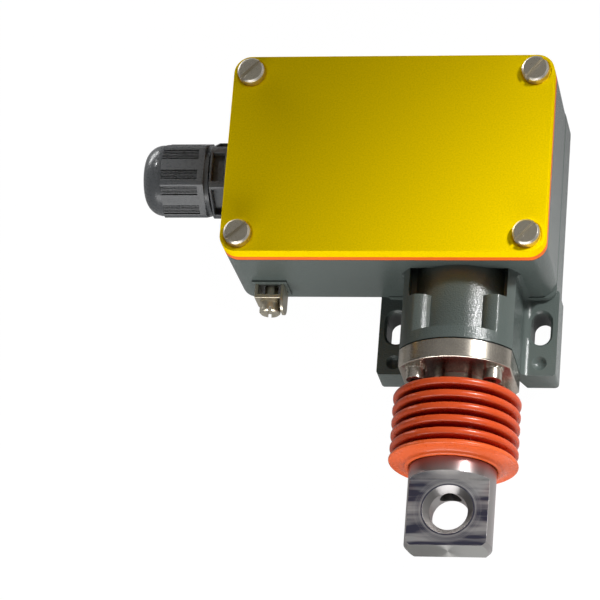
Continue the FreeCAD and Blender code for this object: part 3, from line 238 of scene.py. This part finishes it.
def calculated(owner, operation, *values):
    """Output of an operation on outputs and numbers, in a material's or the world's nodes."""
    node = owner.node_tree.nodes.new("ShaderNodeMath")
    node.operation = operation
    for socket, value in zip(node.inputs, values):
        if isinstance(value, float):
            socket.default_value = value
        else:
            owner.node_tree.links.new(value, socket)
    return node.outputs["Value"]


def vector_measure(owner, operation, vector, other=(0.0, 0.0, 0.0)):
    """Number that an operation gives for a vector output and, where it needs one, a fixed vector."""
    node = owner.node_tree.nodes.new("ShaderNodeVectorMath")
    node.operation = operation
    owner.node_tree.links.new(vector, node.inputs[0])
    node.inputs[1].default_value = other
    return node.outputs["Value"]


def combined(material, *values):
    """Vector output of up to three number outputs."""
    vector = material.node_tree.nodes.new("ShaderNodeCombineXYZ")
    for socket, value in zip(vector.inputs, values):
        material.node_tree.links.new(value, socket)
    return vector.outputs["Vector"]


def axis_radius(material):
    """Outputs of a point's distance from the pull axis and of its place along it."""
    place = parts_of(material, "Object")
    height = calculated(material, "SUBTRACT", place["Z"], axis_z)
    across = combined(material, place["X"], height)
    return vector_measure(material, "LENGTH", across), place["Y"]


def lathe_rings(material, pitch):
    """Height output of rings round the pull axis, as a lathe tool leaves them."""
    return noise_from(material, combined(material, *axis_radius(material)), pitch, detail=1.0)


def brush_round(material):
    """Stretches the gloss across the turned rings, as on every lathe-turned face."""
    nodes = material.node_tree.nodes
    shader = nodes["Principled BSDF"]
    around = nodes.new("ShaderNodeTangent")
    around.direction_type = "RADIAL"
    around.axis = "Y"
    shader.inputs["Anisotropic"].default_value = turned_gloss_stretch
    shader.inputs["Anisotropic Rotation"].default_value = gloss_across_rings
    material.node_tree.links.new(around.outputs["Tangent"], shader.inputs["Tangent"])


turned_steel = machined_metal("turned_steel", steel_color, roughness=0.24)
add_bump(turned_steel, lathe_rings(turned_steel, lathe_pitch), lathe_depth)
brush_round(turned_steel)
dress("bearing_flange", turned_steel, edge_round=0.00025)
screw_steel = machined_metal("screw_steel", steel_color, roughness=0.24)
dress("flange_screws", screw_steel, edge_round=0.0002)
washer_steel = machined_metal("washer_steel", washer_steel_color, roughness=0.24)
dress("flange_lock_washers", washer_steel, edge_round=0.0001)

black_rubber = plain_material("black_rubber", black_rubber_color, roughness=0.6)
add_bump(black_rubber, object_noise(black_rubber, rubber_grain_size), rubber_grain_depth)
dress("flange_gasket", black_rubber, edge_round=0.0001)

# Bellows: five moulded silicone folds from the collar on the neck to the lip on the pull eye.
# It stretches when the eye is pulled; here it is built as one skin from the collar to the lip.
# Its grooves are painted darker and redder as painted shade, its crests keep the orange, and its lip
# is painted lighter as painted light.
bellows_orange = (0.58, 0.070, 0.014)
# Painted light: the lip's lighter orange.
lip_painted_light_orange = (0.72, 0.112, 0.024)
# Painted shade: the grooves' darker red.
bellows_painted_shade_red = (0.26, 0.006, 0.001)
shade_up_to = 0.0008
orange_down_to = 0.0012
lip_light_behind = 0.0002
lip_light_ahead = 0.0008
bellows_crest = 0.0235
bellows_valley = 0.0188
bellows_wall = 0.0009
bellows_crest_round = 0.0015
bellows_pitch = 0.00481
bellows_first_crest = -0.03535
bellows_folds = 5
collar_length = 0.003
collar_outer = 0.0108
collar_inner = 0.00855
lip_radius = 0.0237
lip_y = -0.0583
lip_end = -0.0619
lip_thickness = 0.0022
lip_rim = 0.0007
lip_dish = 0.0006
lip_steps = 8
eye_radius = 0.016
bead_depth = 0.001
bead_radius = 0.0011
arc_steps = 7
steps_around = 160


def new_skin(name, vertices, faces):
    """Smooth mesh object whose faces look outward; caps of more than four corners stay flat."""
    mesh = bpy.data.meshes.new(name)
    mesh.from_pydata(vertices, [], faces)
    mesh.update()
    for polygon in mesh.polygons:
        polygon.use_smooth = len(polygon.vertices) == 4
    work = bmesh.new()
    work.from_mesh(mesh)
    bmesh.ops.recalc_face_normals(work, faces=work.faces)
    work.to_mesh(mesh)
    work.free()
    piece = bpy.data.objects.new(name, mesh)
    bpy.context.scene.collection.objects.link(piece)
    return piece


def turned_skin(name, outline):
    """Closed skin turned about the pull axis from a closed (y, radius) outline."""
    vertices = []
    faces = []
    count = len(outline)
    for step in range(steps_around):
        angle = 2 * math.pi * step / steps_around
        for y, radius in outline:
            vertices.append((radius * math.sin(angle), y, axis_z + radius * math.cos(angle)))
    for step in range(steps_around):
        here = step * count
        there = (step + 1) % steps_around * count
        for index in range(count):
            following = (index + 1) % count
            faces.append((here + index, here + following, there + following, there + index))
    return new_skin(name, vertices, faces)


def arc_points(center_y, center_radius, radius, start, end):
    """Points on an arc of the outline; angles in degrees from the flange side."""
    points = []
    for index in range(arc_steps + 1):
        angle = math.radians(start + (end - start) * index / arc_steps)
        points.append((center_y + radius * math.cos(angle), center_radius + radius * math.sin(angle)))
    return points


def folds(crest, valley, crest_round, valley_round):
    """Wavy line of the folds, from the flange side to the lip side."""
    points = []
    for index in range(bellows_folds):
        crest_y = bellows_first_crest - index * bellows_pitch
        valley_y = crest_y - bellows_pitch / 2
        points += arc_points(crest_y, crest - crest_round, crest_round, 0, 180)
        points += arc_points(valley_y, valley + valley_round, valley_round, 0, -180)
    return points


def bellows_outline():
    """Closed outline of the wall: the collar, the folds outside, the lip, and the folds inside."""
    valley_round = bellows_pitch / 2 - bellows_crest_round
    outside = folds(bellows_crest, bellows_valley, bellows_crest_round, valley_round)
    inside = folds(
        bellows_crest - bellows_wall, bellows_valley - bellows_wall,
        bellows_crest_round - bellows_wall, valley_round + bellows_wall)
    collar_y = bellows_first_crest + bellows_crest_round + collar_length
    grip = eye_radius - bead_depth
    collar = [(inside[0][0], collar_inner), (collar_y, collar_inner), (collar_y, collar_outer),
              (outside[0][0], collar_outer)]
    lip = [(outside[-1][0], lip_radius - lip_rim)]
    lip += arc_points(lip_y - lip_rim, lip_radius - lip_rim, lip_rim, 0, 180)
    dish_y = lip_y - 2 * lip_rim
    dish_radius = lip_radius - lip_rim
    bead_y = lip_end + bead_radius
    for step in range(1, lip_steps):
        share = step / lip_steps
        sag = 4 * lip_dish * share * (1 - share)
        lip.append((dish_y + (bead_y - dish_y) * share + sag,
                    dish_radius + (eye_radius + 2 * bead_radius - dish_radius) * share))
    lip += arc_points(bead_y, eye_radius + bead_radius, bead_radius, 90, 270)
    lip += [(bead_y, grip), (lip_end + lip_thickness, grip),
            (lip_end + lip_thickness, eye_radius), (lip_y - lip_rim, inside[-1][1])]
    return collar + outside + lip + inside[::-1]


def share_between(owner, value, start, end, low=0.0, high=1.0):
    """Output that goes from low to high as another output passes from start to end."""
    share = owner.node_tree.nodes.new("ShaderNodeMapRange")
    for socket, level in (("From Min", start), ("From Max", end), ("To Min", low), ("To Max", high)):
        share.inputs[socket].default_value = level
    owner.node_tree.links.new(value, share.inputs["Value"])
    return share.outputs["Result"]


def color_between(material, value, start, end, low, high):
    """Colour or tone output that goes from low to high as another passes from start to end."""
    links = material.node_tree.links
    mix = material.node_tree.nodes.new("ShaderNodeMixRGB")
    links.new(share_between(material, value, start, end), mix.inputs["Fac"])
    for socket, color in (("Color1", low), ("Color2", high)):
        if isinstance(color, tuple):
            mix.inputs[socket].default_value = (*color, 1.0)
        else:
            links.new(color, mix.inputs[socket])
    return mix.outputs["Color"]


def set_color(material, color):
    """Gives the shader a colour output as its base colour."""
    shader = material.node_tree.nodes["Principled BSDF"]
    material.node_tree.links.new(color, shader.inputs["Base Color"])


bellows = turned_skin("bellows_skin", bellows_outline())
bellows_silicone = silicone("bellows_silicone", bellows_orange, roughness=0.28, specular=0.35)
fold_radius, fold_along = axis_radius(bellows_silicone)
# Painted shade: the colour turns darker and redder towards the grooves.
fold_shade_color = color_between(
    bellows_silicone, fold_radius, bellows_valley + shade_up_to, bellows_crest - orange_down_to,
    bellows_painted_shade_red, bellows_orange)
# Painted light: the lip is lighter than the folds.
skin_shade_and_light_color = color_between(
    bellows_silicone, fold_along, lip_y - lip_light_behind, lip_y + lip_light_ahead,
    lip_painted_light_orange, fold_shade_color)
set_color(bellows_silicone, skin_shade_and_light_color)
bellows.data.materials.append(bellows_silicone)
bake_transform(bellows)
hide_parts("bellows")

# Pull eye: stainless rod end, turned, then milled flat on two sides and bored for the rope fitting.
# The milling cutter leaves bands and arcs on the flats, and the flats' dark and light colours along
# them are painted reflection.
# The lathe leaves rings on the end face; a bright streak through its middle and the bright step face
# are painted highlights, and next to the bellows a painted reflection gives the steel the lip's
# orange.
eye_color = (0.37, 0.355, 0.35)
# Painted highlights and reflections: the step, end streak, flat and lip colours below.
step_highlight_color = (0.80, 0.78, 0.76)
end_highlight_color = (0.80, 0.79, 0.76)
end_color = (0.42, 0.42, 0.40)
dark_reflection_flat_color = (0.085, 0.085, 0.125)
light_reflection_flat_color = (0.56, 0.55, 0.55)
dark_tone = 0.40
light_tone = 0.62
# Painted reflection: the lip's orange on the steel next to the bellows.
lip_reflection_color = (0.36, 0.17, 0.16)
lip_reflection_end = lip_end - 0.0055
lip_reflection_full = lip_end - 0.0005
bore_x, bore_y = (0.0, -0.0788)
arcs_within = 0.0085
bands_beyond = 0.0135
mill_band = 0.0032
mill_band_length_share = 0.12
mill_pitch = 0.0009
eye_tool_depth = 0.000012
neck_above_flats = 0.001
eye_half_thickness = 0.0065
nearly_level = 0.985
fully_level = 0.998
facing_end = -0.97
facing_side = -0.85
highlight_core = 0.05
highlight_edge = 0.5
step_end = bore_y - 0.001


def scaled(material, vector, scale):
    """Vector output with each of its parts multiplied."""
    mapping = material.node_tree.nodes.new("ShaderNodeMapping")
    mapping.inputs["Scale"].default_value = scale
    material.node_tree.links.new(vector, mapping.inputs["Vector"])
    return mapping.outputs["Vector"]


def milled_tone(material):
    """Output of the flats' tone: bands across them, and arcs round the bore close to it."""
    place = on_piece(material)
    stretched = scaled(material, place, (mill_band_length_share, 1.0, 0.0))
    bands = noise_from(material, stretched, mill_band)
    level = scaled(material, place, (1.0, 1.0, 0.0))
    away = vector_measure(material, "DISTANCE", level, (bore_x, bore_y, 0.0))
    arcs = noise_from(material, combined(material, away), mill_pitch)
    return color_between(material, away, arcs_within, bands_beyond, arcs, bands)


def flat_share(material):
    """Outputs that are one on the two level flats and zero elsewhere, and how level a face is."""
    levelness = calculated(material, "ABSOLUTE", parts_of(material, "Normal")["Z"])
    share = share_between(material, levelness, nearly_level, fully_level)
    height = parts_of(material, "Object")["Z"]
    below_neck = calculated(
        material, "LESS_THAN", height, axis_z + eye_half_thickness + neck_above_flats)
    return calculated(material, "MULTIPLY", share, below_neck), levelness


def end_highlight_tone(material):
    """Colour of the faces across the axis: the step with a painted highlight, and the end with a
    painted highlight streak through its middle.
    """
    radius, along = axis_radius(material)
    side = calculated(material, "ABSOLUTE", parts_of(material, "Object")["X"])
    slant = calculated(material, "DIVIDE", side, radius)
    # Painted highlight: a bright streak through the end face's middle and a bright step face.
    end_glint = color_between(material, slant, highlight_core, highlight_edge, end_highlight_color, end_color)
    return color_between(material, along, step_end, bore_y, end_glint, step_highlight_color)


eye_steel = plain_material("eye_steel", eye_color, roughness=0.26, metallic=1.0)
on_flat, levelness = flat_share(eye_steel)
tone = milled_tone(eye_steel)
tool_height = color_between(eye_steel, on_flat, 0.0, 1.0, lathe_rings(eye_steel, lathe_pitch), tone)
add_bump(eye_steel, tool_height, eye_tool_depth)
# Painted reflection: the flats' dark and light colours follow the milled pattern.
flat_reflection_color = color_between(eye_steel, tone, dark_tone, light_tone, dark_reflection_flat_color, light_reflection_flat_color)
eye_along = parts_of(eye_steel, "Object")["Y"]
# Painted reflection: the round steel turns towards the lip's orange next to the bellows.
round_color_with_reflection = color_between(
    eye_steel, eye_along, lip_reflection_end, lip_reflection_full, eye_color, lip_reflection_color)
frontward = parts_of(eye_steel, "Normal")["Y"]
turned_painted_color = color_between(
    eye_steel, frontward, facing_end, facing_side, end_highlight_tone(eye_steel), round_color_with_reflection)
set_color(eye_steel, color_between(eye_steel, on_flat, 0.0, 1.0, turned_painted_color, flat_reflection_color))
vary_input(eye_steel, "Roughness", levelness, low=0.30, high=0.40, start=0.3, end=0.6)
brush_round(eye_steel)
dress("pull_eye", eye_steel, edge_round=0.00025)

# Pull spindle: turned steel rod that joins the eye to the spring plate and the cam.
# Its shank slides in the bush; its end shows in the eye's bore.
dress("pull_spindle", turned_steel, edge_round=0.0002)

# Cable gland: black glass-filled polyamide, moulded glossy.
# The body is screwed into the wall over a rubber ring; the dome nut closes a sleeve on the cable.
black_plastic_color = (0.072, 0.076, 0.080)
glass_fibre_size = 0.0012
glass_fibre_depth = 0.000004

black_plastic = plain_material("black_plastic", black_plastic_color, roughness=0.30, specular=0.25)
plastic_skin = object_noise(black_plastic, glass_fibre_size)
add_bump(black_plastic, plastic_skin, glass_fibre_depth)
vary_input(black_plastic, "Roughness", plastic_skin, low=0.24, high=0.34)
dress("gland_body", black_plastic, edge_round=0.0003)
dress("gland_nut", black_plastic, edge_round=0.0003)
dress("gland_seal", black_rubber)
dress("gland_washer", black_rubber)

# Outer earth terminal: nickelled brass saddle clamp under a slotted screw and a spring washer.
# It clamps the earth wire on a machined pad of the front wall.
nickel_color = (0.60, 0.55, 0.44)

nickel = machined_metal("nickel", nickel_color, roughness=0.34)
dress("earth_clamp", nickel, edge_round=0.0002)
dress("earth_screw", nickel, edge_round=0.0002)
dress("earth_washer", nickel, edge_round=0.0001)

# Guide bush and seal: sintered bronze bush and rubber lip ring in the flange's neck and hub.
# They guide the spindle and keep water out.
bronze_color = (0.50, 0.30, 0.14)

bronze = machined_metal("bronze", bronze_color, roughness=0.38)
dress("guide_bush", bronze, edge_round=0.0001)
dress("spindle_seal", black_rubber, edge_round=0.0001)

# Return spring: coiled steel wire between the flange's hub and the spring plate on the spindle.
# It shortens when the eye is pulled.
spring_color = (0.34, 0.33, 0.31)
return_start = (0.0, -0.00995, axis_z)
return_end = (0.0, 0.01295, axis_z)
steps_per_turn = 40
wire_sides = 12


def coil_spring(name, mean_radius, wire_radius, turns, start, end, across, up):
    """Helix of round wire from one point to another, with flat-cut wire ends."""
    start = Vector(start)
    end = Vector(end)
    direction = (end - start).normalized()
    first = start + direction * wire_radius
    length = (end - start).length - 2 * wire_radius
    across = Vector(across)
    up = Vector(up)
    steps = turns * steps_per_turn
    vertices = []
    faces = []
    for step in range(steps + 1):
        angle = 2 * math.pi * turns * step / steps
        outward = across * math.cos(angle) + up * math.sin(angle)
        middle = first + direction * (length * step / steps) + outward * mean_radius
        for side in range(wire_sides):
            turn = 2 * math.pi * side / wire_sides
            vertices.append(
                middle + outward * wire_radius * math.cos(turn)
                + direction * wire_radius * math.sin(turn))
    for step in range(steps):
        for side in range(wire_sides):
            following = (side + 1) % wire_sides
            here = step * wire_sides
            there = here + wire_sides
            faces.append((here + side, here + following, there + following, there + side))
    faces.append(tuple(range(wire_sides)))
    faces.append(tuple(reversed(range(steps * wire_sides, (steps + 1) * wire_sides))))
    piece = new_skin(name, vertices, faces)
    piece.data.materials.append(spring_steel)
    return piece


spring_steel = machined_metal("spring_steel", spring_color, roughness=0.32)
return_coils = coil_spring(
    "return_spring_coils", mean_radius=0.010, wire_radius=0.0011, turns=5,
    start=return_start, end=return_end, across=(1, 0, 0), up=(0, 0, -1))
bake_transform(return_coils)
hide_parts("return_spring")

# Spring plate, switching cam and lock nut: turned steel pieces clamped on the spindle.
# The cam's cones push the two plungers; it is hardened and dark.
cam_color = (0.20, 0.19, 0.18)
cam_lathe_pitch = 0.0004

cam_steel = machined_metal("cam_steel", cam_color, roughness=0.28)
add_bump(cam_steel, lathe_rings(cam_steel, cam_lathe_pitch), lathe_depth)
dress("spring_plate", turned_steel, edge_round=0.0002)
dress("switching_cam", cam_steel, edge_round=0.0001)
dress("lock_nut", screw_steel, edge_round=0.0003)

# Contact carrier: zinc-plated steel plate on four bosses of the casting, with its screws
# and the screws that hold the two contact blocks.
zinc_color = (0.50, 0.51, 0.50)
zinc_grain_size = 0.0006

zinc_plate = machined_metal("zinc_plate", zinc_color, roughness=0.36, mark_size=zinc_grain_size)
dress("contact_carrier", zinc_plate, edge_round=0.0002)
dress("carrier_screws", screw_steel, edge_round=0.00015)
dress("block_screws", screw_steel, edge_round=0.00015)

# Contact blocks: moulded black plastic with a white acetal plunger, a brass contact bridge,
# brass fixed contacts, zinc-plated terminal screws and a small return spring each.
acetal_color = (0.72, 0.71, 0.66)
acetal_grain_size = 0.001
acetal_grain_depth = 0.00001
brass_color = (0.62, 0.44, 0.20)
plunger_spring_start = -0.04385
plunger_spring_end = -0.03745
plunger_rows = (0.033, 0.055)

white_plastic = plain_material("white_plastic", acetal_color, roughness=0.40)
add_bump(white_plastic, object_noise(white_plastic, acetal_grain_size), acetal_grain_depth)
brass = machined_metal("brass", brass_color, roughness=0.26)
for number, row in enumerate(plunger_rows, start=1):
    dress(f"contact_block_{number}", black_plastic, edge_round=0.0002)
    dress(f"plunger_{number}", white_plastic, edge_round=0.0001)
    dress(f"contact_bridge_{number}", brass, edge_round=0.0001)
    dress(f"fixed_contacts_{number}", brass, edge_round=0.0001)
    dress(f"terminal_screws_{number}", zinc_plate, edge_round=0.0001)
    spring_start = (plunger_spring_start, row, axis_z)
    spring_end = (plunger_spring_end, row, axis_z)
    coils = coil_spring(
        f"plunger_spring_coils_{number}", mean_radius=0.0014, wire_radius=0.0003, turns=6,
        start=spring_start, end=spring_end, across=(0, 0, -1), up=(0, 1, 0))
    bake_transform(coils)
    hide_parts(f"plunger_spring_{number}")

# Inner earth terminal: nickelled clamp washer and slotted screw on a boss of the box floor.
# The cable's earth wire is clamped here.
dress("inner_earth_clamp", nickel, edge_round=0.0002)
dress("inner_earth_screw", nickel, edge_round=0.0002)

# Floor: plain pale studio paper that the switch lies on with its mounting face.
# It is white to the camera with a faint, soft shadow, and a pale grey in the steel.
floor_half = 3.0
floor_below = 0.0002
floor_grey = (0.42, 0.42, 0.42)
paper_fibre_size = 0.002
paper_fibre_depth = 0.00002
white_strength = 1.12
shadow_share = 0.12
mirror_share = 0.18


def paper_material():
    """White paper: a plain white to the camera, with a share of its real shading."""
    material = plain_material("floor_paper", floor_grey, roughness=0.9, specular=0.1)
    nodes = material.node_tree.nodes
    links = material.node_tree.links
    add_bump(material, object_noise(material, paper_fibre_size, detail=3.0), paper_fibre_depth)
    white = nodes.new("ShaderNodeEmission")
    white.inputs["Strength"].default_value = white_strength
    rays = nodes.new("ShaderNodeLightPath").outputs
    seen = calculated(material, "MULTIPLY", rays["Is Camera Ray"], 1.0 - shadow_share)
    through = calculated(material, "MULTIPLY", rays["Is Transmission Ray"], 1.0 - shadow_share)
    mirrored = calculated(material, "MULTIPLY", rays["Is Glossy Ray"], mirror_share)
    straight = calculated(material, "MAXIMUM", seen, through)
    white_share = calculated(material, "MAXIMUM", straight, mirrored)
    mix = nodes.new("ShaderNodeMixShader")
    links.new(white_share, mix.inputs["Fac"])
    links.new(nodes["Principled BSDF"].outputs["BSDF"], mix.inputs[1])
    links.new(white.outputs["Emission"], mix.inputs[2])
    links.new(mix.outputs["Shader"], nodes["Material Output"].inputs["Surface"])
    return material


def studio_floor():
    """Large level plane just under the mounting face."""
    mesh = bpy.data.meshes.new("studio_floor")
    corners = [(-floor_half, -floor_half), (floor_half, -floor_half),
               (floor_half, floor_half), (-floor_half, floor_half)]
    mesh.from_pydata([(x, y, -floor_below) for x, y in corners], [], [(0, 1, 2, 3)])
    piece = bpy.data.objects.new("studio_floor", mesh)
    bpy.context.scene.collection.objects.link(piece)
    piece.data.materials.append(paper_material())
    return piece


studio_floor()

# Light: a key from the back right that fades over the cover, a softbox beside it that the steel
# mirrors, a small light on the gland, low fills in front and behind, and a dim room.
# Their level lets a colour render about as written.
object_middle = (0.0, -0.005, 0.03)
key_direction = (0.59, 0.38, 0.71)
key_distance = 1.2
room_bright_side = (0.55, 0.38, 0.75)
room_dark_from = -0.25
room_bright_from = 0.85
room_dark = 0.10
room_bright = 0.37
room_share_as_light = 0.22


def placed_lamp(name, kind, place, aim, power):
    """Lamp of a kind that looks at a point."""
    light = bpy.data.lights.new(name, kind)
    light.energy = power
    lamp = bpy.data.objects.new(name, light)
    lamp.location = place
    lamp.rotation_euler = (Vector(aim) - Vector(place)).to_track_quat("-Z", "Y").to_euler()
    bpy.context.scene.collection.objects.link(lamp)
    return light


def soft_spot(name, place, aim, power, degrees, radius):
    """Spot lamp whose light fades evenly from the middle of its cone to the edge."""
    light = placed_lamp(name, "SPOT", place, aim, power)
    light.spot_size = math.radians(degrees)
    light.spot_blend = 1.0
    light.shadow_soft_size = radius


def softbox(name, place, width, height, power):
    """Rectangular softbox that looks at the object's middle."""
    light = placed_lamp(name, "AREA", place, object_middle, power)
    light.shape = "RECTANGLE"
    light.size = width
    light.size_y = height


soft_spot("gland_light", place=(-0.55, 0.60, 0.75), aim=(-0.132, 0.055, 0.04),
          power=28.0, degrees=5.0, radius=0.03)
soft_spot("key", place=tuple(key_distance * part for part in key_direction), aim=(0.12, -0.06, 0.03),
          power=91.0, degrees=21.0, radius=0.08)
softbox("top_softbox", place=(0.575, 0.42, 0.74), width=0.55, height=0.4, power=1.5)
softbox("front_fill", place=(-0.05, -1.1, 0.20), width=1.4, height=0.4, power=15.0)
softbox("back_fill", place=(-0.85, 0.95, 0.10), width=0.8, height=0.2, power=12.0)

world = bpy.data.worlds.new("room")
world.use_nodes = True
bpy.context.scene.world = world
room = world.node_tree
background = room.nodes["Background"]
background.inputs["Color"].default_value = (1.0, 1.0, 1.0, 1.0)
room_rays = room.nodes.new("ShaderNodeLightPath").outputs
room_place = room.nodes.new("ShaderNodeTexCoord").outputs["Generated"]
room_side = vector_measure(world, "DOT_PRODUCT", room_place, room_bright_side)
room_level = share_between(world, room_side, room_dark_from, room_bright_from, room_dark, room_bright)
room_share = share_between(world, room_rays["Is Glossy Ray"], 0.0, 1.0, room_share_as_light, 1.0)
room_seen = room.nodes.new("ShaderNodeMix")
room_seen.inputs["B"].default_value = 1.0
room.links.new(room_rays["Is Camera Ray"], room_seen.inputs["Factor"])
room.links.new(calculated(world, "MULTIPLY", room_level, room_share), room_seen.inputs["A"])
room.links.new(room_seen.outputs["Result"], background.inputs["Strength"])

# Camera: a long lens from above, in front and slightly right, fitted to the photograph's edges.
# It is rolled so that the cover's front edge is level.
camera_place = Vector((0.2113, -0.5496, 1.3536))
camera_aim = Vector((-0.0614, 0.0050, 0.0270))
camera_roll = math.radians(-23.79)
lens_length = 236.76
sensor_width = 36.0

camera_data = bpy.data.cameras.new("camera")
camera_data.lens = lens_length
camera_data.sensor_width = sensor_width
camera_data.sensor_fit = "HORIZONTAL"
camera = bpy.data.objects.new("camera", camera_data)
look = (camera_aim - camera_place).to_track_quat("-Z", "Y").to_matrix().to_4x4()
camera.matrix_world = Matrix.Translation(camera_place) @ look @ Matrix.Rotation(camera_roll, 4, "Z")
bpy.context.scene.collection.objects.link(camera)
bpy.context.scene.camera = camera

bpy.context.scene.view_settings.view_transform = "Standard"
